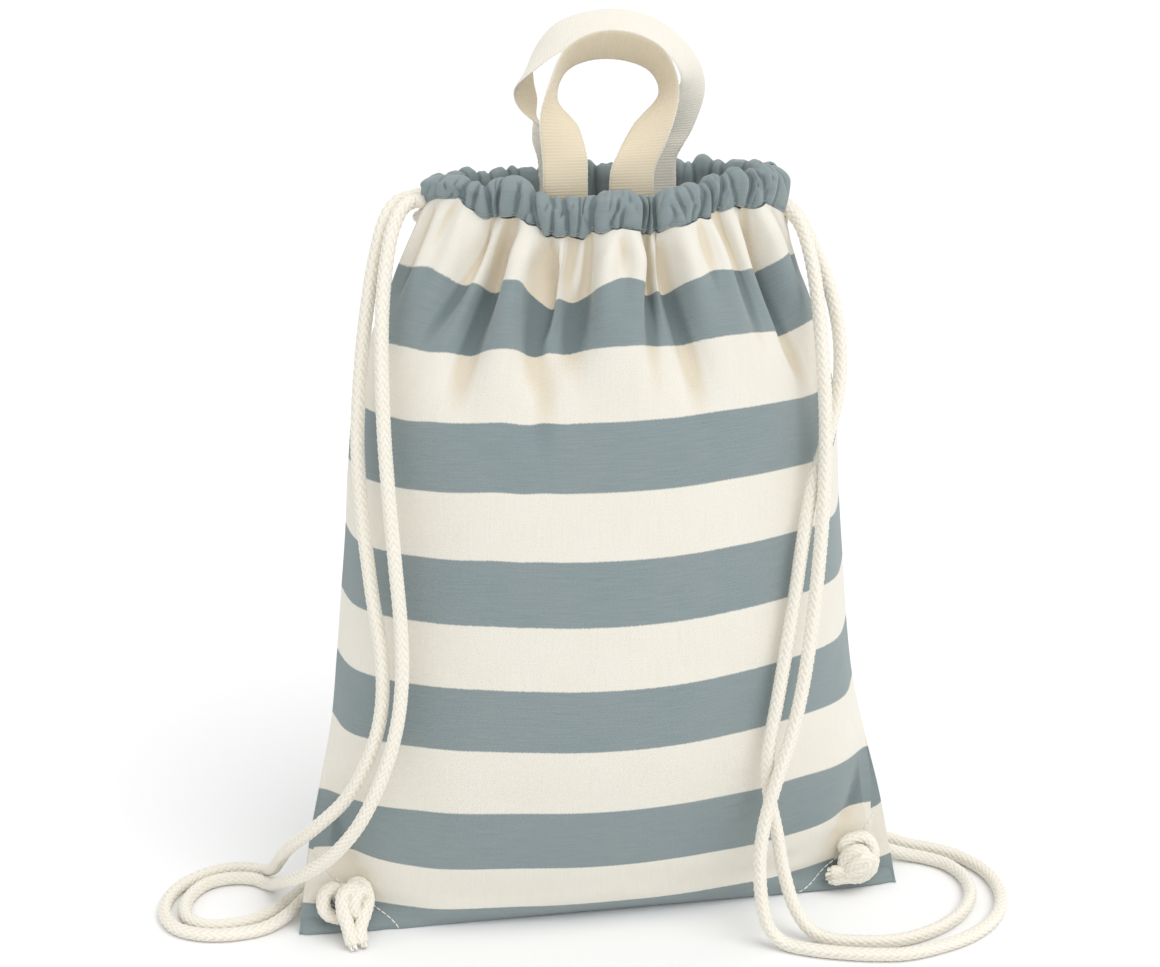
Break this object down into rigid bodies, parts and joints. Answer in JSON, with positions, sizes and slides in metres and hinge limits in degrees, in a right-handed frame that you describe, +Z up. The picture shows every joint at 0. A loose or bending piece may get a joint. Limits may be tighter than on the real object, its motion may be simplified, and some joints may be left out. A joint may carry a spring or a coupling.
{
  "type": "drawstring sack",
  "caption": "Standing striped cotton drawstring sack with webbing grab handles and knotted rope shoulder straps.",
  "frame": {"origin": "on the floor, under the middle of the sack", "axes": "+Z up, front of the sack faces -Y, +X runs across it to the viewer's right"},
  "size_m": [0.5234, 0.2022, 0.5444],
  "materials": {
    "striped_canvas": "matt woven, blue-grey and natural stripes",
    "plain_canvas": "matt woven",
    "thread": "matt twisted thread",
    "webbing": "matt herringbone weave",
    "rope": "matt braid"
  },
  "bodies": {
    "sack": {"front_panel": "striped_canvas", "back_panel": "striped_canvas", "front_casing": "striped_canvas", "back_casing": "striped_canvas", "left_side_seam": "plain_canvas", "right_side_seam": "plain_canvas", "left_corner_patch": "plain_canvas", "right_corner_patch": "plain_canvas", "left_hole_edge": "thread", "right_hole_edge": "thread", "left_cord_run": "rope", "right_cord_run": "rope", "left_front_strand": "rope", "left_back_strand": "rope", "right_front_strand": "rope", "right_back_strand": "rope", "front_handle_ends": "webbing", "back_handle_ends": "webbing"},
    "left_knot": {"left_knot": "rope"},
    "right_knot": {"right_knot": "rope"},
    "front_handle": {"front_handle": "webbing"},
    "back_handle": {"back_handle": "webbing"}
  },
  "joints": [
    {"name": "front_handle_swing", "type": "hinge", "parent": "sack", "child": "front_handle", "pos_m": [0, -0.029, 0.4545], "axis": [1, 0, 0], "range_deg": [0, 90]},
    {"name": "back_handle_swing", "type": "hinge", "parent": "sack", "child": "back_handle", "pos_m": [0, 0.029, 0.4545], "axis": [-1, 0, 0], "range_deg": [0, 90]},
    {"name": "left_knot_pull", "type": "slide", "parent": "sack", "child": "left_knot", "axis": [0, -0.9738, 0.2272], "range_m": [0, 0.015]},
    {"name": "right_knot_pull", "type": "slide", "parent": "sack", "child": "right_knot", "axis": [0, -0.9738, 0.2272], "range_m": [0, 0.015]}
  ]
}
